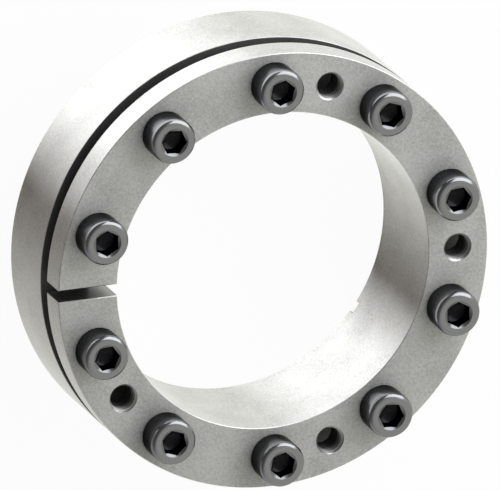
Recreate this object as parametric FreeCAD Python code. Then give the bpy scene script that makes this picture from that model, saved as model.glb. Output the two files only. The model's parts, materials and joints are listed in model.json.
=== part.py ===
import FreeCAD, Part
import math
import os

# Shaft locking assembly, in millimetres. A slit inner ring carries a flange and a tapered sleeve.
# A slit outer ring has the same taper in its bore and ten tapped holes. Ten socket head screws
# through the flange draw the outer ring up the taper, which grips the shaft inside and the hub
# outside. The origin is the centre of the outer ring's rear face. +Z runs along the shaft's axis
# towards the screw heads, and +X points at the middle of the space between two screws.

# Shaft side
BORE_D = 112.7
SLEEVE_END_WALL = 0.9
TAPER_HALF_ANGLE = 6.0
CONE_CLEARANCE = 0.25

# Lengths along the shaft
OUTER_RING_LENGTH = 28.5
GAP = 6.0
FLANGE_THICKNESS = 11.3
SLEEVE_SETBACK = 3.9

# Metal left on each side of the screw holes in the outer ring
WALL_INSIDE_HOLES = 1.61
WALL_OUTSIDE_HOLES = 5.7

# Slits and edges
SLIT_WIDTH = 4.0
EDGE_BREAK = 0.4
SLEEVE_END_BREAK = 0.2
SLIT_BREAK = 0.3

# Screws and their holes
SCREW_COUNT = 10
SCREW_D = 10.0
TIP_SETBACK = 5.8
TIP_CHAMFER = 0.9
HEAD_D = 16.0
HEAD_HEIGHT = 10.0
HEAD_CHAMFER = 1.0
SOCKET_ACROSS_FLATS = 8.0
SOCKET_DEPTH = 5.0
SOCKET_MOUTH_MARGIN = 0.35
SOCKET_TURN = -12.0
THREAD_CLEARANCE = 0.05
TAP_DRILL_D = 8.5
JACK_COUNTERSINK_D = 10.1
HOLE_CLEARANCE = 0.5

# Places round the ring, counted in screw spaces from +X
INNER_SLIT_SPACE = 5
OUTER_SLIT_SPACE = 9
JACK_SPACES = (0, 2, 6, 8)

# Worked out from the sizes above
SPACE_ANGLE = 360.0 / SCREW_COUNT
SLOPE = math.tan(math.radians(TAPER_HALF_ANGLE))
BORE_R = BORE_D / 2
SCREW_R = SCREW_D / 2
TAPPED_R = SCREW_R + THREAD_CLEARANCE
TAP_DRILL_R = TAP_DRILL_D / 2
JACK_COUNTERSINK_R = JACK_COUNTERSINK_D / 2
HOLE_R = SCREW_R + HOLE_CLEARANCE
SLEEVE_END_Z = SLEEVE_SETBACK
FLANGE_BACK_Z = OUTER_RING_LENGTH + GAP
FLANGE_FRONT_Z = FLANGE_BACK_Z + FLANGE_THICKNESS
HEAD_TOP_Z = FLANGE_FRONT_Z + HEAD_HEIGHT


def sleeve_cone_r(z):
    """Radius of the sleeve's cone at height z: thin at the rear, thick at the flange."""
    return BORE_R + SLEEVE_END_WALL + (z - SLEEVE_END_Z) * SLOPE


def ring_cone_r(z):
    """Radius of the outer ring's tapered bore at height z, clear of the sleeve all round."""
    return sleeve_cone_r(z) + CONE_CLEARANCE


SCREW_CIRCLE_R = ring_cone_r(OUTER_RING_LENGTH) + WALL_INSIDE_HOLES + TAPPED_R
OUTER_R = SCREW_CIRCLE_R + TAPPED_R + WALL_OUTSIDE_HOLES
CUT_MARGIN = EDGE_BREAK + 1.0

AXIS = FreeCAD.Vector(0, 0, 1)
CENTRE = FreeCAD.Vector(0, 0, 0)


def at(r, z):
    """Point of a turned profile, at radius r and height z."""
    return FreeCAD.Vector(r, 0, z)


def turned(corners):
    """Solid of revolution from the corners (r, z) of a closed profile of straight edges."""
    points = [at(r, z) for r, z in corners]
    profile = Part.Face(Part.makePolygon(points + points[:1]))
    return profile.revolve(CENTRE, AXIS, 360)


def turn_to(shape, angle):
    """Copy of a shape turned about the shaft's axis by an angle in degrees."""
    copy = shape.copy()
    copy.rotate(CENTRE, AXIS, angle)
    return copy


def hole(radius, low_z, high_z, angle):
    """Round cutter on the screw circle that runs past both heights."""
    length = high_z - low_z + 2 * CUT_MARGIN
    cutter = Part.makeCylinder(radius, length, at(SCREW_CIRCLE_R, low_z - CUT_MARGIN), AXIS)
    return turn_to(cutter, angle)


def jack_hole(angle):
    """Cutters for one jacking hole through the flange: its drilled size, countersunk at both faces."""
    middle_z = (FLANGE_BACK_Z + FLANGE_FRONT_Z) / 2
    depth = JACK_COUNTERSINK_R - TAP_DRILL_R
    cutters = [hole(TAP_DRILL_R, FLANGE_BACK_Z, FLANGE_FRONT_Z, angle)]
    for face_z in (FLANGE_BACK_Z, FLANGE_FRONT_Z):
        inward = AXIS if face_z < middle_z else -AXIS
        cone = Part.makeCone(
            JACK_COUNTERSINK_R + CUT_MARGIN, TAP_DRILL_R, depth + CUT_MARGIN,
            at(SCREW_CIRCLE_R, face_z) - inward * CUT_MARGIN, inward)
        cutters.append(turn_to(cone, angle))
    return cutters


def slit(low_z, high_z, angle):
    """Cutter for one radial slit through a whole ring, with its corners at the ends broken."""
    inner = BORE_R - CUT_MARGIN
    outer = OUTER_R + CUT_MARGIN
    half = SLIT_WIDTH / 2
    corners = [
        (-half - SLIT_BREAK - CUT_MARGIN, high_z + CUT_MARGIN),
        (-half, high_z - SLIT_BREAK),
        (-half, low_z + SLIT_BREAK),
        (-half - SLIT_BREAK - CUT_MARGIN, low_z - CUT_MARGIN),
        (half + SLIT_BREAK + CUT_MARGIN, low_z - CUT_MARGIN),
        (half, low_z + SLIT_BREAK),
        (half, high_z - SLIT_BREAK),
        (half + SLIT_BREAK + CUT_MARGIN, high_z + CUT_MARGIN),
    ]
    points = [FreeCAD.Vector(inner, y, z) for y, z in corners]
    section = Part.Face(Part.makePolygon(points + points[:1]))
    cutter = section.extrude(FreeCAD.Vector(outer - inner, 0, 0))
    return turn_to(cutter, angle)


def screw_angles():
    """Angles of the screws: one in the middle of each half step from +X."""
    return [(i + 0.5) * SPACE_ANGLE for i in range(SCREW_COUNT)]


def make_inner_ring():
    """Flange and tapered sleeve in one piece, slit through, with plain and jacking holes."""
    body = turned([
        (BORE_R + SLEEVE_END_BREAK, SLEEVE_END_Z),
        (sleeve_cone_r(SLEEVE_END_Z), SLEEVE_END_Z),
        (sleeve_cone_r(FLANGE_BACK_Z), FLANGE_BACK_Z),
        (OUTER_R - EDGE_BREAK, FLANGE_BACK_Z),
        (OUTER_R, FLANGE_BACK_Z + EDGE_BREAK),
        (OUTER_R, FLANGE_FRONT_Z - EDGE_BREAK),
        (OUTER_R - EDGE_BREAK, FLANGE_FRONT_Z),
        (BORE_R + EDGE_BREAK, FLANGE_FRONT_Z),
        (BORE_R, FLANGE_FRONT_Z - EDGE_BREAK),
        (BORE_R, SLEEVE_END_Z + SLEEVE_END_BREAK),
    ])
    cutters = [hole(HOLE_R, FLANGE_BACK_Z, FLANGE_FRONT_Z, angle) for angle in screw_angles()]
    for space in JACK_SPACES:
        cutters.extend(jack_hole(space * SPACE_ANGLE))
    cutters.append(slit(SLEEVE_END_Z, FLANGE_FRONT_Z, INNER_SLIT_SPACE * SPACE_ANGLE))
    return body.cut(cutters)


def make_outer_ring():
    """Plain outside, tapered bore, one slit and a tapped hole for every screw."""
    top = OUTER_RING_LENGTH
    body = turned([
        (ring_cone_r(0) + EDGE_BREAK, 0),
        (OUTER_R - EDGE_BREAK, 0),
        (OUTER_R, EDGE_BREAK),
        (OUTER_R, top - EDGE_BREAK),
        (OUTER_R - EDGE_BREAK, top),
        (ring_cone_r(top) + EDGE_BREAK, top),
        (ring_cone_r(top - EDGE_BREAK), top - EDGE_BREAK),
        (ring_cone_r(EDGE_BREAK), EDGE_BREAK),
    ])
    cutters = [hole(TAPPED_R, 0, top, angle) for angle in screw_angles()]
    cutters.append(slit(0, top, OUTER_SLIT_SPACE * SPACE_ANGLE))
    return body.cut(cutters)


def make_screw():
    """Socket head cap screw on the +X side of the screw circle, its head on the flange."""
    head_r = HEAD_D / 2
    blank = turned([
        (0, TIP_SETBACK),
        (SCREW_R - TIP_CHAMFER, TIP_SETBACK),
        (SCREW_R, TIP_SETBACK + TIP_CHAMFER),
        (SCREW_R, FLANGE_FRONT_Z),
        (head_r, FLANGE_FRONT_Z),
        (head_r, HEAD_TOP_Z - HEAD_CHAMFER),
        (head_r - HEAD_CHAMFER, HEAD_TOP_Z),
        (0, HEAD_TOP_Z),
    ])
    screw = blank.cut(make_socket())
    screw.translate(at(SCREW_CIRCLE_R, 0))
    return screw


def make_socket():
    """Cutter for the hexagon socket: six flats, a drilled point below and a broken mouth."""
    corner_r = SOCKET_ACROSS_FLATS / math.sqrt(3)
    floor_z = HEAD_TOP_Z - SOCKET_DEPTH
    turns = [math.radians(SOCKET_TURN + 60 * i) for i in range(7)]
    corners = [FreeCAD.Vector(corner_r * math.cos(a), corner_r * math.sin(a), floor_z) for a in turns]
    flats = Part.Face(Part.makePolygon(corners)).extrude(AXIS * (SOCKET_DEPTH + CUT_MARGIN))
    flat_r = SOCKET_ACROSS_FLATS / 2
    point_depth = flat_r * math.tan(math.radians(30))
    point = Part.makeCone(0, flat_r, point_depth, at(0, floor_z - point_depth), AXIS)
    mouth_r = corner_r + SOCKET_MOUTH_MARGIN
    mouth_depth = (mouth_r - flat_r) * math.tan(math.radians(30))
    mouth = Part.makeCone(flat_r, mouth_r, mouth_depth, at(0, HEAD_TOP_Z - mouth_depth), AXIS)
    return [flats, point, mouth]


def main():
    """Build every piece and write one file for each."""
    pieces = {"inner_ring": make_inner_ring(), "outer_ring": make_outer_ring()}
    screw = make_screw()
    for number, angle in enumerate(screw_angles(), start=1):
        pieces[f"screw_{number:02d}"] = turn_to(screw, angle)
    os.makedirs("parts", exist_ok=True)
    for name, shape in pieces.items():
        shape.exportStep(f"parts/{name}.step")
        print(name, "solids", len(shape.Solids), "valid", shape.isValid(), "volume", round(shape.Volume))


main()
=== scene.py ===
import json
import logging
import math
from collections.abc import Sequence
from dataclasses import dataclass, field
from enum import Enum

import bmesh
import bpy
import numpy as np
from mathutils import Matrix, Vector


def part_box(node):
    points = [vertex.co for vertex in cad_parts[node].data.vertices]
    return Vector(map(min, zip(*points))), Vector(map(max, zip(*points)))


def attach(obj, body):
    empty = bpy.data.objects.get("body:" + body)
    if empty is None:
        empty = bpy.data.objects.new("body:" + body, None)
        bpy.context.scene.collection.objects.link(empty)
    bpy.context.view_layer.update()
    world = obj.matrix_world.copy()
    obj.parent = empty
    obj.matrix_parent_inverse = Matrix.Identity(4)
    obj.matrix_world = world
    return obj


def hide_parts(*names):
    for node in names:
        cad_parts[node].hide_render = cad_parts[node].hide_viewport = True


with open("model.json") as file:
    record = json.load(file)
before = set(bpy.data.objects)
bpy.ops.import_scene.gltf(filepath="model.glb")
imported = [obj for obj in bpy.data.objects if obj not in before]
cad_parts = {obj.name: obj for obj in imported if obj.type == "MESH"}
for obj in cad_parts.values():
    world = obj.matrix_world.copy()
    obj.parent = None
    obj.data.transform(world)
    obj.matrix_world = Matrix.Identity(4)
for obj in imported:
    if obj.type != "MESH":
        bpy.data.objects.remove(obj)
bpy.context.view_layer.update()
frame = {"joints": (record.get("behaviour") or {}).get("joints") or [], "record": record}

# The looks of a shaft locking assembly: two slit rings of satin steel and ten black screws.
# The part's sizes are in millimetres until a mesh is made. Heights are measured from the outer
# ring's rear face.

log = logging.getLogger("shaft_locking_assembly")

MM = 0.001
PHOTO_WIDTH = 500
MERGE_DISTANCE = 0.0005 * MM
SHARP_ANGLE = math.radians(28.0)

SCREW_COUNT = 10
SECTOR_COUNT = 2 * SCREW_COUNT
SECTOR_ANGLE = 2 * math.pi / SECTOR_COUNT
ARC_STEPS = 12
RADIAL_STEPS = 12
HOLE_STEPS = 2 * (ARC_STEPS + RADIAL_STEPS)

# A screw's mark says how bright its coat is: lowered as painted shade in the socket, at its mouth, over
# the head's edge, down its side and at its foot, and highest on the plain coat.
COAT_MARK = 0.5
EDGE_SHADE_MARK = 0.42
SIDE_SHADE_MARK = 0.22
FOOT_SHADE_MARK = 0.16
SOCKET_SHADE_MARK = 0.07
MOUTH_SHADE_MARK = 0.35


class Slot(Enum):
    """The record's material slots."""

    RINGS = "ring_steel"
    SCREWS = "screw_steel"


class ThreadKind(Enum):
    """Which side of a thread a surface is: the screw's ridges or the hole's grooves."""

    SCREW = "screw"
    HOLE = "hole"


def sectors_of(places: Sequence[Sequence[float]]) -> list[int]:
    """Numbers of the sectors that hold the given places on the screw circle.

    Args:
        places: Points (x, y, z) of the frame.

    Returns:
        For each place its sector, counted from +X. A sector is half a screw space.
    """
    return [round(math.atan2(place[1], place[0]) / SECTOR_ANGLE) % SECTOR_COUNT for place in places]


MOUNTS = {mount["name"]: mount for mount in frame["record"]["mounts"]}
HINGES = [joint for joint in frame["joints"] if joint["type"] == "hinge"]
SCREW_PLACES = {joint["child"]: joint["pos_m"] for joint in HINGES}
JACK_PLACES = [mount["pos_m"] for name, mount in MOUNTS.items() if name.startswith("jack_hole")]
SCREW_CIRCLE_R = math.hypot(*SCREW_PLACES["screw_01"][:2]) / MM
BORE_R = MOUNTS["shaft_bore"]["dims"]["r_mm"]
OUTER_R = MOUNTS["hub_seat"]["dims"]["r_mm"]
JACK_HOLE_R = MOUNTS["jack_hole_1"]["dims"]["r_mm"]
JACK_THREAD_LENGTH = MOUNTS["jack_hole_1"]["dims"]["length_mm"]


def box_heights(node: str) -> tuple[float, float]:
    """Lowest and highest point of a node at rest, in millimetres."""
    low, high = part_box(node)
    return low.z / MM, high.z / MM


def linear(code: str) -> tuple[float, float, float, float]:
    """Linear colour of an sRGB hex value.

    Args:
        code: Six hex digits after a hash.

    Returns:
        Red, green, blue and an alpha of 1. A channel c is (c + 0.055) / 1.055 to the power 2.4,
        or c / 12.92 where it is very dark.
    """
    channels = [int(code[i:i + 2], 16) / 255 for i in (1, 3, 5)]
    red, green, blue = (c / 12.92 if c <= 0.04045 else ((c + 0.055) / 1.055) ** 2.4 for c in channels)
    return red, green, blue, 1.0


def add_node(tree: bpy.types.NodeTree, kind: str, inputs: dict | None = None,
             **settings: object) -> bpy.types.Node:
    """Adds one node to a tree.

    Args:
        tree: The tree of a material or of the world.
        kind: The node's type.
        inputs: Values or output sockets by input name or number.
        **settings: The node's own properties.

    Returns:
        The new node.
    """
    node = tree.nodes.new(kind)
    for name, value in settings.items():
        setattr(node, name, value)
    for name, value in (inputs or {}).items():
        if isinstance(value, bpy.types.NodeSocket):
            tree.links.new(value, node.inputs[name])
        else:
            node.inputs[name].default_value = value
    return node


def fill_ramp(node: bpy.types.Node, stops: Sequence[tuple[float, str]]) -> bpy.types.NodeSocket:
    """Sets the stops of a Color Ramp node.

    Args:
        node: The Color Ramp node.
        stops: Position from 0 to 1 and sRGB hex value of each stop, in order.

    Returns:
        The ramp's colour output.
    """
    elements = node.color_ramp.elements
    elements[0].position, elements[1].position = stops[0][0], stops[-1][0]
    elements[0].color, elements[1].color = linear(stops[0][1]), linear(stops[-1][1])
    for position, code in stops[1:-1]:
        elements.new(position).color = linear(code)
    return node.outputs["Color"]


def new_material(name: str) -> tuple[bpy.types.Material, bpy.types.NodeTree]:
    """An empty node material and its tree."""
    material = bpy.data.materials.new(name)
    material.use_nodes = True
    material.node_tree.nodes.clear()
    return material, material.node_tree


@dataclass(frozen=True)
class SatinSteel:
    """Plain carbon steel, turned fine and left bare: a light warm grey with a soft even sheen.

    The grit and the lathe lines of the real finish are far finer than a pixel, so both are drawn
    coarser than they are, at the sizes below, to show at all. The faces across the axis were
    faced with a coarser feed than the walls, so they scatter more and mirror less.

    Layers are the finer noises that a noise adds up, and the falloff is how strong each is against
    the one before. A span is where a value starts to count and where it counts in full.
    """

    light: str = "#D2D2D0"
    dark: str = "#A4A4A2"
    # Painted shade: the dark colour that the slits, the threads and the gap are mixed towards.
    oily: str = "#201F1E"
    roughness: float = 0.36
    roughness_spread: float = 0.05
    faced_roughness: float = 0.32
    grain_mm: float = 0.8
    grain_depth_mm: float = 0.01
    grain_layers: float = 2.0
    grain_falloff: float = 0.6
    lathe_pitch_mm: float = 0.35
    lathe_depth_mm: float = 0.0015
    lathe_layers: float = 1.0
    cloud_mm: float = 14.0
    cloud_layers: float = 3.0
    cloud_falloff: float = 0.5
    grain_share: float = 0.6
    cloud_share: float = 0.4
    tone_start: float = 0.2
    colour_span: tuple[float, float] = (0.4, 0.8)
    roughness_span: tuple[float, float] = (0.3, 0.9)
    faced_span: tuple[float, float] = (0.8, 0.98)

    def material(self) -> bpy.types.Material:
        """Builds the finish.

        Returns:
            A metal whose colour and roughness follow a tone, which is a start plus shares of a
            fine grain and a slow cloud, and whose bump adds lathe lines. A lathe line is a noise
            of radius and height alone, so it runs round the axis on every turned face. The
            roughness rises with how far the face points along the axis. Painted shade darkens the
            colour as the piece's mark rises to 1: in the slits, in the threads and in the gap.
        """
        material, tree = new_material("satin_turned_steel")
        coordinates = add_node(tree, "ShaderNodeTexCoord").outputs
        place = coordinates["Object"]
        grain = add_node(tree, "ShaderNodeTexNoise", {
            "Vector": place, "Scale": 1 / (self.grain_mm * MM),
            "Detail": self.grain_layers, "Roughness": self.grain_falloff})
        cloud = add_node(tree, "ShaderNodeTexNoise", {
            "Vector": place, "Scale": 1 / (self.cloud_mm * MM),
            "Detail": self.cloud_layers, "Roughness": self.cloud_falloff})
        parts = add_node(tree, "ShaderNodeSeparateXYZ", {"Vector": place})
        flat = add_node(tree, "ShaderNodeCombineXYZ", {
            "X": parts.outputs["X"], "Y": parts.outputs["Y"]})
        radius = add_node(tree, "ShaderNodeVectorMath", {0: flat.outputs[0]}, operation="LENGTH")
        turned = add_node(tree, "ShaderNodeCombineXYZ", {
            "X": radius.outputs["Value"], "Y": parts.outputs["Z"]})
        lathe = add_node(tree, "ShaderNodeTexNoise", {
            "Vector": turned.outputs[0], "Scale": 1 / (self.lathe_pitch_mm * MM),
            "Detail": self.lathe_layers}, noise_dimensions="2D")
        mixed = add_node(tree, "ShaderNodeMath", {
            0: grain.outputs["Fac"], 1: self.grain_share, 2: self.tone_start},
            operation="MULTIPLY_ADD")
        tone = add_node(tree, "ShaderNodeMath", {
            0: cloud.outputs["Fac"], 1: self.cloud_share, 2: mixed.outputs[0]},
            operation="MULTIPLY_ADD")
        colour = add_node(tree, "ShaderNodeValToRGB", {"Fac": tone.outputs[0]})
        unshaded = fill_ramp(colour, list(zip(self.colour_span, (self.dark, self.light))))
        # The mark mixes in painted shade: in the slits, deeper in the threads and on the gap's face.
        mark = add_node(tree, "ShaderNodeAttribute", attribute_name="mark")
        shaded = add_node(tree, "ShaderNodeMixRGB", {
            "Fac": mark.outputs["Fac"], "Color1": unshaded, "Color2": linear(self.oily)})
        rough = add_node(tree, "ShaderNodeMapRange", {
            "Value": tone.outputs[0],
            "From Min": self.roughness_span[0], "From Max": self.roughness_span[1],
            "To Min": self.roughness - self.roughness_spread,
            "To Max": self.roughness + self.roughness_spread})
        pointing = add_node(tree, "ShaderNodeSeparateXYZ", {"Vector": coordinates["Normal"]})
        along = add_node(tree, "ShaderNodeMath", {0: pointing.outputs["Z"]}, operation="ABSOLUTE")
        extra = add_node(tree, "ShaderNodeMapRange", {
            "Value": along.outputs[0], "To Max": self.faced_roughness,
            "From Min": self.faced_span[0], "From Max": self.faced_span[1]})
        faced = add_node(tree, "ShaderNodeMath", {
            0: rough.outputs[0], 1: extra.outputs[0]}, operation="ADD")
        lines = add_node(tree, "ShaderNodeBump", {
            "Height": lathe.outputs["Fac"], "Strength": 1.0, "Distance": self.lathe_depth_mm * MM})
        grit = add_node(tree, "ShaderNodeBump", {
            "Height": grain.outputs["Fac"], "Strength": 1.0, "Distance": self.grain_depth_mm * MM,
            "Normal": lines.outputs[0]})
        shader = add_node(tree, "ShaderNodeBsdfPrincipled", {
            "Base Color": shaded.outputs[0],
            "Metallic": 1.0, "Roughness": faced.outputs[0], "Normal": grit.outputs[0]})
        add_node(tree, "ShaderNodeOutputMaterial", {"Surface": shader.outputs[0]})
        return material


@dataclass(frozen=True)
class BlackOxide:
    """Black oxide on a forged and hardened screw, lightly oiled: a dark grey, half glossy.

    The socket is painted near-black and the foot of the head painted dark: painted shade in the
    recess and where the head stands on the flange. The coat stays dark where it is seen at a low
    angle, as oxide does and bare steel doesn't.
    """

    # Painted shade: the near-black that the socket and the head's foot are mixed towards.
    oily: str = "#1E1E20"
    coat: str = "#8B8C8E"
    bright: str = "#A0A1A3"
    edge_tint: str = "#9A9A9A"
    roughness: float = 0.2
    roughness_spread: float = 0.05
    roughness_span: tuple[float, float] = (0.3, 0.7)
    grain_mm: float = 0.5
    grain_depth_mm: float = 0.002
    grain_layers: float = 2.0
    grain_falloff: float = 0.6
    grain_share: float = 0.15
    painted_shade_mark: float = 0.15
    bright_mark: float = 1.0

    def material(self) -> bpy.types.Material:
        """Builds the finish.

        Returns:
            A dark metal with a fine grain. The piece's mark is lowest in the socket, low on the
            head's side and at its foot, higher at the socket's mouth and over the head's edge, and
            the coat's own value on the top and the shank; the lowered marks are painted shade. The
            grain adds to the mark and breaks up the tone.
        """
        material, tree = new_material("black_oxide_steel")
        place = add_node(tree, "ShaderNodeTexCoord").outputs["Object"]
        grain = add_node(tree, "ShaderNodeTexNoise", {
            "Vector": place, "Scale": 1 / (self.grain_mm * MM),
            "Detail": self.grain_layers, "Roughness": self.grain_falloff})
        # The mark is lowered for painted shade in the socket, at its mouth, over the edge, down the
        # side and at the foot.
        mark = add_node(tree, "ShaderNodeAttribute", attribute_name="mark")
        broken = add_node(tree, "ShaderNodeMath", {
            0: grain.outputs["Fac"], 1: self.grain_share, 2: mark.outputs["Fac"]},
            operation="MULTIPLY_ADD")
        ramp = add_node(tree, "ShaderNodeValToRGB", {"Fac": broken.outputs[0]})
        colour = fill_ramp(ramp, [
            (self.painted_shade_mark, self.oily), (COAT_MARK, self.coat), (self.bright_mark, self.bright)])
        rough = add_node(tree, "ShaderNodeMapRange", {
            "Value": grain.outputs["Fac"],
            "From Min": self.roughness_span[0], "From Max": self.roughness_span[1],
            "To Min": self.roughness - self.roughness_spread,
            "To Max": self.roughness + self.roughness_spread})
        grit = add_node(tree, "ShaderNodeBump", {
            "Height": grain.outputs["Fac"], "Strength": 1.0, "Distance": self.grain_depth_mm * MM})
        shader = add_node(tree, "ShaderNodeBsdfPrincipled", {
            "Base Color": colour, "Metallic": 1.0, "Roughness": rough.outputs[0],
            "Normal": grit.outputs[0], "Specular Tint": linear(self.edge_tint)})
        add_node(tree, "ShaderNodeOutputMaterial", {"Surface": shader.outputs[0]})
        return material


class Shell:
    """Surfaces of one piece, gathered and then joined into one mesh."""

    def __init__(self) -> None:
        """Starts with no surface."""
        self.points: list[np.ndarray] = []
        self.marks: list[np.ndarray] = []
        self.faces: list[np.ndarray] = []
        self.count = 0

    def add_grid(self, points: np.ndarray, keep: np.ndarray | None = None,
                 marks: np.ndarray | float = 0.0) -> None:
        """Adds a grid of four-sided faces.

        Args:
            points: Rows by columns by (x, y, z). Each face joins four neighbours of the grid.
            keep: Which faces stay, by row and column, or None for all of them.
            marks: A number from 0 to 1 that the finish reads, for each row and column.
        """
        rows, columns = points.shape[:2]
        index = self.count + np.arange(rows * columns).reshape(rows, columns)
        quads = np.stack([index[:-1, :-1], index[:-1, 1:], index[1:, 1:], index[1:, :-1]], axis=-1)
        self.faces.extend(quads.reshape(-1, 4) if keep is None else quads[keep])
        self._add_points(points.reshape(-1, 3), np.broadcast_to(marks, (rows, columns)).ravel())

    def add_outline(self, points: np.ndarray, mark: float = 0.0) -> None:
        """Adds one flat face inside a closed outline of points (x, y, z), all with the same mark."""
        self.faces.append(self.count + np.arange(len(points)))
        self._add_points(points, np.full(len(points), mark))

    def _add_points(self, points: np.ndarray, marks: np.ndarray) -> None:
        """Adds the points that the newest faces use."""
        self.points.append(points)
        self.marks.append(marks)
        self.count += len(points)

    def build(self, name: str) -> bpy.types.Object:
        """Joins the surfaces into a mesh object.

        Points that meet are merged, faces are turned outwards, and edges that turn by more than
        the sharp angle stay crisp.

        Args:
            name: The new object's name.

        Returns:
            The object, at the origin, with its place in its mesh.
        """
        points = np.concatenate(self.points) * MM
        sizes = np.array([len(face) for face in self.faces])
        mesh = bpy.data.meshes.new(name)
        mesh.vertices.add(len(points))
        mesh.vertices.foreach_set("co", points.astype(np.float32).ravel())
        mesh.loops.add(int(sizes.sum()))
        mesh.loops.foreach_set("vertex_index", np.concatenate(self.faces).astype(np.int32))
        mesh.polygons.add(len(sizes))
        mesh.polygons.foreach_set("loop_start", (np.cumsum(sizes) - sizes).astype(np.int32))
        mesh.update(calc_edges=True)
        marks = mesh.attributes.new("mark", "FLOAT", "POINT")
        marks.data.foreach_set("value", np.concatenate(self.marks).astype(np.float32))
        work = bmesh.new()
        work.from_mesh(mesh)
        bmesh.ops.remove_doubles(work, verts=work.verts, dist=MERGE_DISTANCE)
        bmesh.ops.recalc_face_normals(work, faces=work.faces)
        open_edges = sum(not edge.is_manifold for edge in work.edges)
        work.to_mesh(mesh)
        work.free()
        mesh.polygons.foreach_set("use_smooth", np.ones(len(mesh.polygons), dtype=bool))
        mesh.set_sharp_from_angle(angle=SHARP_ANGLE)
        piece = bpy.data.objects.new(name, mesh)
        bpy.context.scene.collection.objects.link(piece)
        triangles = sum(len(face.vertices) - 2 for face in mesh.polygons)
        log.info("%s: %d triangles, %d open edges", name, triangles, open_edges)
        return piece


@dataclass(frozen=True)
class Thread:
    """One side of an M10 x 1.5 thread round its own axis.

    The ridges of a screw and the grooves of its hole start at the same height, so they mesh. The
    play is how far apart their flanks are, measured across the axis.
    """

    kind: ThreadKind
    low_z: float
    high_z: float
    low_r: float
    high_r: float
    pitch: float = 1.5
    screw_major_r: float = 5.0
    screw_minor_r: float = 4.1
    hole_major_r: float = 5.05
    hole_minor_r: float = JACK_HOLE_R
    play: float = 0.08
    half_angle: float = math.radians(30.0)
    flat_share: float = 1 / 16
    spare_turns: int = 2

    def form(self) -> tuple[np.ndarray, np.ndarray]:
        """One pitch of the thread's section: a flat, a flank, a flat and a flank.

        Returns:
            Offsets along the axis from the middle of the outer flat, and the radius at each. At
            radius r the flank is the flat's share of the pitch, plus (the screw's major radius +
            play - r) times the tangent of the half angle, away from that middle.
        """
        if self.kind is ThreadKind.SCREW:
            outer, inner, play = self.screw_major_r, self.screw_minor_r, 0.0
        else:
            outer, inner, play = self.hole_major_r, self.hole_minor_r, self.play
        slope = math.tan(self.half_angle)
        flat = self.pitch * self.flat_share
        near, far = (flat + (self.screw_major_r + play - r) * slope for r in (outer, inner))
        offsets = np.array([-near, near, far, self.pitch - far])
        return offsets, np.array([outer, outer, inner, inner])

    def surface(self, angles: np.ndarray) -> tuple[np.ndarray, np.ndarray]:
        """The thread as rows along its helix, from the low end to the high end.

        The height of a row is a whole number of pitches, plus its offset in the section, plus the
        pitch times the angle over a full turn, held between the two ends. At a distance d from an
        end, the radius stays within d of that end's radius, so the thread runs out at 45 degrees.

        Args:
            angles: Angles of the columns, over one full turn.

        Returns:
            Radius and height, each by row and column.
        """
        offsets, radii = self.form()
        first_turn = math.floor(self.low_z / self.pitch) - self.spare_turns
        turns = np.arange(first_turn, math.ceil(self.high_z / self.pitch) + self.spare_turns)
        start = (turns[:, None] * self.pitch + offsets).reshape(-1, 1)
        height = np.clip(start + self.pitch * angles / (2 * math.pi), self.low_z, self.high_z)
        radius = np.tile(radii, len(turns))[:, None] * np.ones_like(angles)
        for end_r, depth in ((self.low_r, height - self.low_z), (self.high_r, self.high_z - height)):
            radius = np.clip(radius, end_r - depth, end_r + depth)
        return radius, height


def around(centre_r: float, angle: float, radius: np.ndarray, height: np.ndarray,
           angles: np.ndarray) -> np.ndarray:
    """Points round an axis that stands on a circle about the main axis.

    Args:
        centre_r: The circle's radius.
        angle: Where on the circle the axis stands.
        radius: Distance of each point from that axis, by row and column.
        height: Height of each point, by row and column.
        angles: Angle of each column, from the outward direction at the axis.

    Returns:
        Rows by columns by (x, y, z): out = centre_r + radius cos(angles), across = radius
        sin(angles), then turned to the place on the circle.
    """
    out = centre_r + radius * np.cos(angles)
    across = radius * np.sin(angles)
    x = out * math.cos(angle) - across * math.sin(angle)
    y = out * math.sin(angle) + across * math.cos(angle)
    return np.stack([x, y, height], axis=-1)


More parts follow.
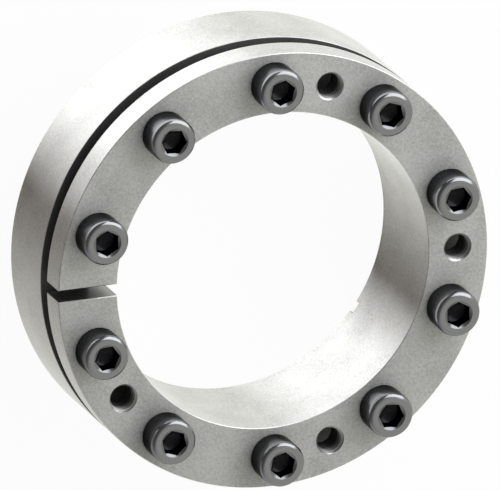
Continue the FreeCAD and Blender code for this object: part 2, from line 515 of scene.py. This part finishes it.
@dataclass
class SplitRing:
    """A turned ring with one slit and holes on the screw circle, worked out round its slit.

    The ring is cut into twenty sectors. Its section is swept from one wall of the slit to the
    other, and a sector with a hole has its flat faces replaced by a face round the hole.

    Attributes:
        corners: Radius and height of each corner of the section, in order round it.
        flats: The corners at which the two flat faces start.
        gap_side: Which of those two faces looks into the gap between the rings.
        slit_space: The screw space in which the slit lies, counted from +X.
        holes: Radius of each hole's mouth, by sector counted from the slit.
        threaded: The sectors whose holes are tapped.
        slit_shade_mark: How much painted shade darkens the slit's walls, from 0 to 1.
        gap_shade_mark: How much painted shade darkens the flat face at the gap.
        shade_depths: Depths below a thread's open mouth, and shade_marks how much painted shade darkens
            it at each.
        face_rows: Where the rows of a face round a hole lie, from the hole to the outline.
    """

    name: str
    node: str
    corners: list[tuple[float, float]]
    flats: tuple[int, int]
    gap_side: int
    slit_space: int
    holes: dict[int, float]
    threaded: set[int]
    slit_width: float = 4.0
    slit_break: float = 0.3
    slit_shade_mark: float = 0.5
    gap_shade_mark: float = 0.75
    shade_depths: tuple[float, ...] = (0.0, 1.0, 2.5, 5.0)
    shade_marks: tuple[float, ...] = (0.0, 0.5, 0.6, 0.95)
    face_rows: tuple[float, ...] = (0.0, 0.45, 1.0)
    profile: np.ndarray = field(init=False)
    spans: list[tuple[int, int]] = field(init=False)

    def __post_init__(self) -> None:
        """Divides the section's two flat faces, so that they meet the faces round the holes."""
        corners = np.array(self.corners)
        steps = np.linspace(0, 1, RADIAL_STEPS, endpoint=False)[:, None]
        points: list[np.ndarray] = []
        self.spans = []
        for i, corner in enumerate(corners):
            if i in self.flats:
                self.spans.append((len(points), len(points) + RADIAL_STEPS))
                points.extend(corner + steps * (corners[i + 1] - corner))
            else:
                points.append(corner)
        self.profile = np.array(points)

    def slit_angle(self) -> float:
        """Where the middle of the slit is, from +X."""
        return 2 * self.slit_space * SECTOR_ANGLE

    def swept(self) -> np.ndarray:
        """The section carried round from one wall of the slit to the other.

        A station's angle is a fixed part plus a share of the angle at which the slit's wall crosses
        that radius, which is the arc sine of half the slit's width over the radius. The share runs
        from 1 at the first wall to 0 half a sector on, and to -1 at the last wall. The slit is
        wider by its break at the second station, and the wall itself stops short of both ends by
        the break, which bevels its corners.

        Returns:
            Stations by section points by (x, y, z), with the slit's middle at +X.
        """
        half = ARC_STEPS // 2
        ease = np.linspace(1, 0, half + 1)
        turned = (1 - ease) * SECTOR_ANGLE / 2
        plain = np.arange(1, (SECTOR_COUNT - 1) * ARC_STEPS)
        middle = SECTOR_ANGLE / 2 + plain * SECTOR_ANGLE / ARC_STEPS
        last = 2 * math.pi - turned[::-1]
        fixed = np.concatenate([[0.0], turned, middle, last, [2 * math.pi]])
        share = np.concatenate([[1.0], ease, np.zeros(len(middle)), -ease[::-1], [-1.0]])
        gap = np.full(len(fixed), self.slit_width / 2 + self.slit_break)
        gap[[0, -1]] = self.slit_width / 2
        radius, height = self.profile[:, 0], self.profile[:, 1]
        angle = fixed[:, None] + share[:, None] * np.arcsin(gap[:, None] / radius)
        heights = np.tile(height, (len(fixed), 1))
        ends = height.min() + self.slit_break, height.max() - self.slit_break
        heights[[0, -1]] = np.clip(height, *ends)
        return np.stack([radius * np.cos(angle), radius * np.sin(angle), heights], axis=-1)

    def first_station(self, sector: int) -> int:
        """Number of the station at which a sector starts, counted from the slit."""
        return 1 + ARC_STEPS // 2 + (sector - 1) * ARC_STEPS

    def face_round_hole(self, swept: np.ndarray, sector: int, span: tuple[int, int],
                        angles: np.ndarray) -> np.ndarray:
        """A flat face between a hole and the outline of its sector.

        Args:
            swept: What swept() gives.
            sector: The hole's sector, counted from the slit.
            span: The flat face's first and last point in the section.
            angles: Angles of the hole's columns, from the inner corner on the first side round.

        Returns:
            Rows by columns by (x, y, z). A row goes round, at its share of the way from the hole's
            circle to the outline.
        """
        first = self.first_station(sector)
        last = first + ARC_STEPS
        inner, outer = sorted(span, key=lambda i: self.profile[i % len(self.profile), 0])
        step = 1 if outer > inner else -1
        outline = np.concatenate([
            swept[first:last, inner],
            swept[last, inner:outer:step],
            swept[last:first:-1, outer],
            swept[first, outer:inner:-step],
            swept[first:first + 1, inner],
        ])
        height = np.full_like(angles, outline[0, 2])
        radius = np.full_like(angles, self.holes[sector])
        circle = around(SCREW_CIRCLE_R, sector * SECTOR_ANGLE, radius, height, angles)
        blend = np.array(self.face_rows)[:, None, None]
        return circle * (1 - blend) + outline * blend

    def hole_wall(self, sector: int, angles: np.ndarray) -> tuple[np.ndarray, np.ndarray]:
        """The wall of a hole, plain or threaded, between the two flat faces.

        Args:
            sector: The hole's sector, counted from the slit.
            angles: Angles of the hole's columns.

        Returns:
            Points, and how much painted shade darkens each. A plain hole has none. A thread has none
            at the mouth that is in the open, and gets more painted shade with its depth below that.
        """
        low, high = sorted(self.profile[first, 1] for first, _ in self.spans)
        radius = self.holes[sector]
        if sector in self.threaded:
            thread = Thread(ThreadKind.HOLE, low, high, radius, radius)
            radii, heights = thread.surface(angles)
            # Painted shade: the thread darkens with its depth below the open mouth.
            depth = heights - low if self.gap_side else high - heights
            marks = np.interp(depth, self.shade_depths, self.shade_marks)
        else:
            radii = np.full((2, len(angles)), radius)
            heights = np.array([[low], [high]]) * np.ones_like(angles)
            marks = np.zeros_like(heights)
        return around(SCREW_CIRCLE_R, sector * SECTOR_ANGLE, radii, heights, angles), marks

    def build(self, material: bpy.types.Material) -> bpy.types.Object:
        """Builds the ring, turns it to its place and dresses it.

        Args:
            material: The ring's finish.

        Returns:
            The finished piece, which stands for the ring's node.
        """
        swept = self.swept()
        closed = np.concatenate([swept, swept[:, :1]], axis=1)
        keep = np.ones((closed.shape[0] - 1, closed.shape[1] - 1), dtype=bool)
        shell = Shell()
        corner = 5 * math.pi / 4
        angles = corner - np.arange(HOLE_STEPS + 1) * 2 * math.pi / HOLE_STEPS
        for sector in self.holes:
            first = self.first_station(sector)
            for span in self.spans:
                keep[first:first + ARC_STEPS, span[0]:span[1]] = False
                # The face round a hole at the gap takes the gap's painted shade.
                mark = self.gap_shade_mark if span == self.spans[self.gap_side] else 0.0
                shell.add_grid(self.face_round_hole(swept, sector, span, angles), marks=mark)
            wall, marks = self.hole_wall(sector, angles)
            shell.add_grid(wall, marks=marks)
        # Painted shade: the flat face at the gap and the slit's walls are marked darker.
        marks = np.zeros(closed.shape[:2])
        first, last = self.spans[self.gap_side]
        marks[:, first:last + 1] = self.gap_shade_mark
        marks[[0, -1]] = self.slit_shade_mark
        shell.add_grid(closed, keep, marks)
        # The slit's flat walls take the slit's painted shade.
        for wall in (swept[0], swept[-1]):
            shell.add_outline(wall, self.slit_shade_mark)
        piece = shell.build(self.name)
        piece.data.transform(Matrix.Rotation(self.slit_angle(), 4, "Z"))
        piece.data.materials.append(material)
        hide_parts(self.node)
        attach(piece, self.node)
        return piece


@dataclass(frozen=True)
class Taper:
    """The cone that both rings share, thin at the sleeve's rear end."""

    end_z: float
    end_wall: float = 0.9
    half_angle: float = math.radians(6.0)
    clearance: float = 0.25

    def sleeve_r(self, z: float) -> float:
        """Radius of the sleeve's cone at a height."""
        return BORE_R + self.end_wall + (z - self.end_z) * math.tan(self.half_angle)

    def ring_r(self, z: float) -> float:
        """Radius of the outer ring's bore at a height."""
        return self.sleeve_r(z) + self.clearance


@dataclass(frozen=True)
class Rings:
    """The two slit rings: the flange with its tapered sleeve, and the ring drawn up the taper."""

    edge_break: float = 0.2
    sleeve_end_break: float = 0.2
    clearance_hole_r: float = 5.5
    countersink_r: float = 5.05
    inner_slit_space: int = 5
    outer_slit_space: int = 9

    def inner(self) -> SplitRing:
        """The flange and its sleeve, with ten plain holes and four tapped and countersunk ones."""
        end, front = box_heights("inner_ring")
        back = front - JACK_THREAD_LENGTH - 2 * (self.countersink_r - JACK_HOLE_R)
        taper = Taper(end)
        corners = [
            (BORE_R + self.sleeve_end_break, end),
            (taper.sleeve_r(end), end),
            (taper.sleeve_r(back), back),
            (OUTER_R - self.edge_break, back),
            (OUTER_R, back + self.edge_break),
            (OUTER_R, front - self.edge_break),
            (OUTER_R - self.edge_break, front),
            (BORE_R + self.edge_break, front),
            (BORE_R, front - self.edge_break),
            (BORE_R, end + self.sleeve_end_break),
        ]
        slit = 2 * self.inner_slit_space
        plain = self.from_slit(sectors_of(list(SCREW_PLACES.values())), slit)
        jacks = self.from_slit(sectors_of(JACK_PLACES), slit)
        holes = dict.fromkeys(plain, self.clearance_hole_r) | dict.fromkeys(jacks, self.countersink_r)
        return SplitRing("flange_and_sleeve", "inner_ring", corners, flats=(2, 6), gap_side=0,
                         slit_space=self.inner_slit_space, holes=holes, threaded=set(jacks))

    def outer(self) -> SplitRing:
        """The ring with the tapered bore and ten tapped holes."""
        rear, top = box_heights("outer_ring")
        taper = Taper(box_heights("inner_ring")[0])
        corners = [
            (taper.ring_r(rear) + self.edge_break, rear),
            (OUTER_R - self.edge_break, rear),
            (OUTER_R, rear + self.edge_break),
            (OUTER_R, top - self.edge_break),
            (OUTER_R - self.edge_break, top),
            (taper.ring_r(top) + self.edge_break, top),
            (taper.ring_r(top - self.edge_break), top - self.edge_break),
            (taper.ring_r(rear + self.edge_break), rear + self.edge_break),
        ]
        tapped = self.from_slit(sectors_of(list(SCREW_PLACES.values())), 2 * self.outer_slit_space)
        holes = dict.fromkeys(tapped, self.countersink_r)
        return SplitRing("drawn_ring", "outer_ring", corners, flats=(0, 4), gap_side=1,
                         slit_space=self.outer_slit_space, holes=holes, threaded=set(tapped))

    @staticmethod
    def from_slit(sectors: list[int], slit: int) -> list[int]:
        """Sector numbers counted from the slit's sector instead of from +X."""
        return [(sector - slit) % SECTOR_COUNT for sector in sectors]


@dataclass
class CapScrew:
    """One M10 x 40 socket head cap screw, turned as a single surface from socket to tip."""

    node: str
    place: Sequence[float]
    head_r: float = 8.0
    head_height: float = 10.0
    head_round: float = 1.8
    under_head_break: float = 0.3
    # Height above the seat where the painted shade at the head's foot starts to deepen.
    foot_shade_height: float = 5.5
    shank_r: float = 5.0
    tip_r: float = 4.1
    threaded_length: float = 32.0
    across_flats: float = 8.0
    socket_depth: float = 5.0
    mouth_margin: float = 0.35
    mouth_angle: float = math.radians(30.0)
    point_angle: float = math.radians(30.0)
    floor_ring: float = 0.1
    socket_turn: float = math.radians(-12.0)
    support: float = 0.06
    columns: int = 72
    round_steps: int = 10

    def angles(self) -> np.ndarray:
        """Angles of the columns, which start at a corner of the socket."""
        return self.socket_turn + np.arange(self.columns + 1) * 2 * math.pi / self.columns

    def hexagon(self) -> np.ndarray:
        """Radius of the socket's six flats at each column.

        Returns:
            Half the width across flats over the cosine of the angle from the middle of the flat.
        """
        from_corner = (self.angles() - self.socket_turn) % (math.pi / 3)
        return self.across_flats / 2 / np.cos(from_corner - math.pi / 6)

    def socket(self, top: float) -> tuple[np.ndarray, np.ndarray]:
        """The socket, from its drilled point up its flats to its broken mouth.

        Args:
            top: Height of the head's top face.

        Returns:
            Radius and height by row and column. The mouth is a shallow cone, so its edge on the
            flats is a scallop: it lies lower in the middle of a flat than at a corner.
        """
        flats = self.hexagon()
        floor = top - self.socket_depth
        drill_r = self.across_flats / 2 - self.floor_ring
        mouth_r = self.across_flats / math.sqrt(3) + self.mouth_margin
        one = np.ones_like(flats)
        radii = [0 * one, drill_r * one, flats, flats, mouth_r * one]
        heights = [
            (floor - drill_r * math.tan(self.point_angle)) * one,
            floor * one,
            floor * one,
            top - (mouth_r - flats) * math.tan(self.mouth_angle),
            top * one,
        ]
        return np.array(radii), np.array(heights)

    def head(self, top: float) -> tuple[np.ndarray, np.ndarray, np.ndarray]:
        """The outside of the head: a flat top, a round edge, a straight side and a small break.

        Args:
            top: Height of the head's top face.

        Returns:
            Radius, height and mark by row. The edge is a quarter circle, with a row close by on
            each side that keeps the flats flat. Painted shade darkens the coat over the edge, down
            the side to the foot shade's height, and a little more from there to the foot.
        """
        seat = top - self.head_height
        mouth_r = self.across_flats / math.sqrt(3) + self.mouth_margin
        flat_r = self.head_r - self.head_round
        turn = np.linspace(0, math.pi / 2, self.round_steps + 1)
        radii = np.concatenate([
            [mouth_r + self.support, flat_r - self.support],
            flat_r + self.head_round * np.sin(turn),
            [self.head_r, self.head_r, self.head_r, self.head_r - self.under_head_break],
        ])
        heights = np.concatenate([
            [top, top],
            top - self.head_round * (1 - np.cos(turn)),
            [top - self.head_round - self.support, seat + self.foot_shade_height],
            [seat + self.under_head_break, seat],
        ])
        # Painted shade: the coat's mark falls over the round edge, down the side and again to the foot.
        marks = np.concatenate([
            [COAT_MARK, COAT_MARK],
            np.linspace(COAT_MARK, EDGE_SHADE_MARK, self.round_steps + 1),
            [EDGE_SHADE_MARK, SIDE_SHADE_MARK, FOOT_SHADE_MARK, FOOT_SHADE_MARK],
        ])
        return radii, heights, marks

    def build(self, material: bpy.types.Material) -> bpy.types.Object:
        """Builds the screw at its place and dresses it.

        Args:
            material: The screw's finish.

        Returns:
            The finished piece, which stands for the screw's node.
        """
        tip, top = box_heights(self.node)
        seat = top - self.head_height
        angles = self.angles()
        socket_radii, socket_heights = self.socket(top)
        head_radii, head_heights, head_marks = self.head(top)
        run_out = tip + self.threaded_length
        thread = Thread(ThreadKind.SCREW, tip, run_out, self.tip_r, self.shank_r)
        thread_radii, thread_heights = thread.surface(angles)
        one = np.ones((1, len(angles)))
        radii = np.concatenate([
            socket_radii, head_radii[:, None] * one, self.shank_r * one, thread_radii[::-1], 0 * one])
        heights = np.concatenate([
            socket_heights, head_heights[:, None] * one, seat * one, thread_heights[::-1], tip * one])
        # Painted shade: dark in the socket and a little lighter at its mouth; the thread keeps the
        # coat's value.
        marks = np.concatenate([
            np.full(len(socket_radii) - 2, SOCKET_SHADE_MARK),
            [MOUTH_SHADE_MARK, MOUTH_SHADE_MARK],
            head_marks,
            [FOOT_SHADE_MARK],
            np.full(len(thread_radii) + 1, COAT_MARK),
        ])
        shell = Shell()
        across = math.hypot(*self.place[:2]) / MM
        angle = math.atan2(self.place[1], self.place[0])
        shell.add_grid(around(across, angle, radii, heights, angles), marks=marks[:, None])
        piece = shell.build(self.node.replace("screw", "cap_screw"))
        piece.data.materials.append(material)
        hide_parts(self.node)
        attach(piece, self.node)
        return piece


@dataclass(frozen=True)
class SoftBox:
    """A square soft light that looks at the part: azimuth and elevation in degrees, sizes in metres."""

    name: str
    azimuth: float
    elevation: float
    distance: float
    width: float
    glow: float
    colour: str = "#FFFFFF"

    def build(self, target: Vector) -> bpy.types.Object:
        """Hangs the light.

        Args:
            target: What it looks at, in metres.

        Returns:
            The light. Its power is its glow times pi times its area, so the glow is what a mirror
            would show of it.
        """
        azimuth, elevation = math.radians(self.azimuth), math.radians(self.elevation)
        direction = Vector((
            math.cos(azimuth) * math.cos(elevation),
            math.sin(azimuth) * math.cos(elevation),
            math.sin(elevation),
        ))
        light = bpy.data.lights.new(self.name, "AREA")
        light.shape = "SQUARE"
        light.size = self.width
        light.energy = self.glow * math.pi * self.width ** 2
        light.color = linear(self.colour)[:3]
        lamp = bpy.data.objects.new(self.name, light)
        lamp.location = target + direction * self.distance
        lamp.rotation_euler = direction.to_track_quat("Z", "Y").to_euler()
        lamp.visible_camera = False
        bpy.context.scene.collection.objects.link(lamp)
        return lamp


@dataclass(frozen=True)
class Studio:
    """The world, the floor, the light, the cards that the metal mirrors, and the camera.

    The floor's half width and the camera's distance and clip are in metres, and the other lengths
    in millimetres. The room's tones go by how directly a direction leads away from the dim side.
    The cards are pale with one white panel and one dark place beside it, and their places and
    fades are azimuths in degrees that the wall beside them faces.
    """

    floor_half: float = 3.0
    floor_colour: str = "#F4F4F4"
    white_share: float = 0.95
    pixels_per_mm: float = 2.9553
    camera_right: tuple[float, float, float] = (0.93600, 0.0, 0.35199)
    camera_up: tuple[float, float, float] = (0.11735, 0.94279, -0.31206)
    off_centre: tuple[float, float] = (-7.76, 8.56)
    camera_distance: float = 1.0
    camera_clip: tuple[float, float] = (0.01, 20.0)
    card_places: int = 145
    card_lift: float = 0.1
    card_glow: float = 1.9
    bore_glow: float = 1.7
    card_reach: float = 2500.0
    card_slit: float = 0.001
    liner_gap: float = 4.0
    crossing_share: float = 0.49
    smallest_cosine: float = 1e-6
    under_lift: float = 0.05
    # Painted shadow: the dark tone of the card under the outer ring.
    painted_shadow_colour: str = "#202020"
    side_box: SoftBox = SoftBox("side_box", 50.0, 28.5, 0.75, 0.82, 2.4, "#F8FAFF")
    dim_azimuth: float = math.radians(150.0)
    room: tuple[tuple[float, str], ...] = (
        (-0.75, "#686868"), (-0.4, "#868686"), (-0.2, "#B6B6B6"),
        (0.0, "#CCCCCA"), (0.45, "#E3E2DB"),
    )
    horizon: tuple[float, float] = (0.01, 0.04)
    pale: str = "#D0D0CC"
    white: str = "#FFFFFF"
    dark: str = "#605C58"
    white_panel: tuple[float, float] = (110.0, 135.0)
    white_fade: float = 20.0
    dark_place: float = 160.0
    dark_fade: float = 60.0

    def build(self) -> None:
        """Sets the colour view and makes the world, the floor, the cards, the light and the camera."""
        bpy.context.scene.view_settings.view_transform = "Standard"
        self.world()
        self.floor()
        self.cards()
        target = Vector((0, 0, box_heights("inner_ring")[1] / 2 * MM))
        self.side_box.build(target)
        self.camera()

    def world(self) -> None:
        """A pale room that is dim on one side, and white at the level of the floor.

        The room's tone follows the dot product of a direction and the one away from the dim side,
        which is -1 in the middle of the dim side.
        """
        world = bpy.data.worlds.new("pale_room")
        bpy.context.scene.world = world
        world.use_nodes = True
        tree = world.node_tree
        tree.nodes.clear()
        place = add_node(tree, "ShaderNodeTexCoord").outputs["Generated"]
        away = (-math.cos(self.dim_azimuth), -math.sin(self.dim_azimuth), 0.0)
        side = add_node(tree, "ShaderNodeVectorMath", {0: place, 1: away}, operation="DOT_PRODUCT")
        share = add_node(tree, "ShaderNodeMath", {
            0: side.outputs["Value"], 1: 0.5, 2: 0.5}, operation="MULTIPLY_ADD")
        ramp = add_node(tree, "ShaderNodeValToRGB", {"Fac": share.outputs[0]})
        tone = fill_ramp(ramp, [((dot + 1) / 2, code) for dot, code in self.room])
        height = add_node(tree, "ShaderNodeSeparateXYZ", {"Vector": place}).outputs["Z"]
        above = add_node(tree, "ShaderNodeMapRange", {
            "Value": height, "From Min": self.horizon[0], "From Max": self.horizon[1]})
        colour = add_node(tree, "ShaderNodeMixRGB", {
            "Fac": above.outputs[0], "Color1": linear("#FFFFFF"), "Color2": tone})
        light = add_node(tree, "ShaderNodeBackground", {"Color": colour.outputs[0], "Strength": 1.0})
        add_node(tree, "ShaderNodeOutputWorld", {"Surface": light.outputs[0]})

    def floor(self) -> None:
        """A pale floor, white to the camera and to mirrors, that still takes a soft shadow."""
        material, tree = new_material("pale_floor")
        path = add_node(tree, "ShaderNodeLightPath").outputs
        seen = add_node(tree, "ShaderNodeMath", {
            0: path["Is Camera Ray"], 1: path["Is Glossy Ray"]}, operation="ADD")
        through = add_node(tree, "ShaderNodeMath", {
            0: seen.outputs[0], 1: path["Is Transmission Ray"]}, operation="ADD", use_clamp=True)
        share = add_node(tree, "ShaderNodeMath", {
            0: through.outputs[0], 1: self.white_share}, operation="MULTIPLY")
        paint = add_node(tree, "ShaderNodeBsdfDiffuse", {"Color": linear(self.floor_colour)})
        glow = add_node(tree, "ShaderNodeEmission", {"Color": linear("#FFFFFF"), "Strength": 1.0})
        mixed = add_node(tree, "ShaderNodeMixShader", {
            0: share.outputs[0], 1: paint.outputs[0], 2: glow.outputs[0]})
        add_node(tree, "ShaderNodeOutputMaterial", {"Surface": mixed.outputs[0]})
        reach = self.floor_half / MM
        shell = Shell()
        shell.add_outline(np.array([
            [-reach, -reach, 0], [reach, -reach, 0], [reach, reach, 0], [-reach, reach, 0]]))
        plane = shell.build("floor")
        plane.data.materials.append(material)

    def cards(self) -> None:
        """Cards that only the metal sees: graded ones round the part and in its bore, a dark one below.

        The graded cards give the walls the light and dark bands of a studio. The outer one lies on
        the floor. The bore's one starts on the floor at the foot of the outer ring's bore. Its
        strips would cross on the floor, so they turn upwards at the liner gap, or just before the
        place where they would cross if that is nearer, and stand as a liner all round inside the
        bore. The dark card is a painted shadow: a dark sheet under the outer ring, where the
        floor lies in the ring's own shade.
        """
        view = self.view_angle()
        facing = view + np.linspace(-1, 1, self.card_places) * (math.pi - self.card_slit)
        across = np.maximum(np.abs(np.cos(facing - view)), self.smallest_cosine)
        turn_up = np.minimum(self.liner_gap / across, self.crossing_share * BORE_R * across)
        floor_card = self.strips(OUTER_R, facing, facing, np.full_like(facing, self.card_reach))
        self.card("outer_card", floor_card, facing, self.bands(), self.card_glow)
        liner = self.strips(BORE_R, facing, facing + math.pi, turn_up)
        standing = liner[1:] + np.array([0, 0, box_heights("inner_ring")[1] - self.card_lift])
        foot_r = Taper(box_heights("inner_ring")[0]).ring_r(0.0)
        foot = liner[:1] * np.array([foot_r / BORE_R, foot_r / BORE_R, 1.0])
        bore_card = np.concatenate([foot, liner, standing])
        self.card("bore_liner", bore_card, facing, self.bands(), self.bore_glow)
        # Painted shadow: a dark card under the outer ring that only the metal sees.
        ring = np.array([foot_r, OUTER_R])[:, None] * np.ones_like(facing)
        under = around(0.0, 0.0, ring, np.full_like(ring, self.under_lift), facing)
        self.card("under_card", under, facing, [(0, self.painted_shadow_colour)] * 2, self.card_glow)

    def bands(self) -> list[tuple[float, str]]:
        """The graded cards' tones: azimuth in degrees that the wall faces, and sRGB hex value."""
        start, end = self.white_panel
        return [(start - self.white_fade, self.pale), (start, self.white), (end, self.white),
                (self.dark_place, self.dark), (self.dark_place + self.dark_fade, self.pale)]

    def card(self, name: str, points: np.ndarray, facing: np.ndarray,
             bands: Sequence[tuple[float, str]], strength: float) -> None:
        """Makes one card, which only glossy rays see.

        Args:
            name: The name of the card and of its material.
            points: Rows by places by (x, y, z).
            facing: Azimuth that the wall beside each place faces. Its mark on the card is a share
                of a full turn, and a half where the wall faces the camera.
            bands: Azimuth in degrees and sRGB hex value of each tone, in order.
            strength: Strength of its glow.
        """
        shell = Shell()
        shell.add_grid(points, marks=(facing - self.view_angle()) / (2 * math.pi) + 0.5)
        card = shell.build(name)
        card.data.materials.append(self.card_material(name, bands, strength))
        card.visible_camera = False
        card.visible_diffuse = False
        card.visible_shadow = False

    def view_angle(self) -> float:
        """Azimuth from which the camera looks."""
        back = Vector(self.camera_right).cross(Vector(self.camera_up))
        return math.atan2(back.y, back.x)

    def strips(self, radius: float, facing: np.ndarray, places: np.ndarray,
               reach: np.ndarray) -> np.ndarray:
        """A card as one strip for each place round a wall.

        A wall that faces an azimuth f mirrors a view from the azimuth v towards 2 f - v. A strip
        runs that way from the wall's foot, so its tone makes one straight band up the wall. Where
        the wall faces away from the camera, the strips run straight away from it, at v + pi.

        Args:
            radius: The wall's radius in millimetres.
            facing: Azimuth that the wall faces at each place.
            places: Azimuth of each place.
            reach: Length of each strip in millimetres.

        Returns:
            Two rows, at the wall and at the strips' ends, by places by (x, y, z).
        """
        view = self.view_angle()
        mirrored = np.where(np.cos(facing - view) > 0, 2 * facing - view, view + math.pi)
        foot = radius * np.stack([np.cos(places), np.sin(places)], axis=-1)
        end = foot + reach[:, None] * np.stack([np.cos(mirrored), np.sin(mirrored)], axis=-1)
        plan = np.stack([foot, end])
        return np.concatenate([plan, np.full((*plan.shape[:2], 1), self.card_lift)], axis=-1)

    def card_material(self, name: str, bands: Sequence[tuple[float, str]],
                      strength: float) -> bpy.types.Material:
        """A glowing card whose tone follows the azimuth that the wall beside it faces.

        Args:
            name: The material's name.
            bands: Azimuth in degrees and sRGB hex value of each tone, in order.
            strength: Strength of the glow.

        Returns:
            The card's material.
        """
        material, tree = new_material(name)
        mark = add_node(tree, "ShaderNodeAttribute", attribute_name="mark")
        ramp = add_node(tree, "ShaderNodeValToRGB", {"Fac": mark.outputs["Fac"]})
        start = self.view_angle() - math.pi
        stops = [((math.radians(angle) - start) / (2 * math.pi), tone) for angle, tone in bands]
        glow = add_node(tree, "ShaderNodeEmission", {
            "Color": fill_ramp(ramp, stops), "Strength": strength})
        add_node(tree, "ShaderNodeOutputMaterial", {"Surface": glow.outputs[0]})
        return material

    def camera(self) -> None:
        """A parallel camera at the photograph's angle, moved sideways to its framing."""
        right, up = Vector(self.camera_right), Vector(self.camera_up)
        back = right.cross(up).normalized()
        data = bpy.data.cameras.new("camera")
        data.type = "ORTHO"
        data.ortho_scale = PHOTO_WIDTH / self.pixels_per_mm * MM
        data.clip_start, data.clip_end = self.camera_clip
        front = Vector((0, 0, box_heights("inner_ring")[1] * MM))
        aim = front + (right * self.off_centre[0] + up * self.off_centre[1]) * MM
        rig = bpy.data.objects.new("camera", data)
        turn = Matrix((right, up, back)).transposed().to_4x4()
        rig.matrix_world = Matrix.Translation(aim + back * self.camera_distance) @ turn
        bpy.context.scene.collection.objects.link(rig)
        bpy.context.scene.camera = rig


def main() -> None:
    """Builds the pieces and the studio."""
    logging.basicConfig(level=logging.INFO, format="%(name)s: %(message)s")
    ring_finish = SatinSteel().material()
    screw_finish = BlackOxide().material()
    rings = Rings()
    for ring in (rings.inner(), rings.outer()):
        ring.build(ring_finish)
    for node, place in SCREW_PLACES.items():
        CapScrew(node, place).build(screw_finish)
    Studio().build()


if __name__ == "__main__":
    main()
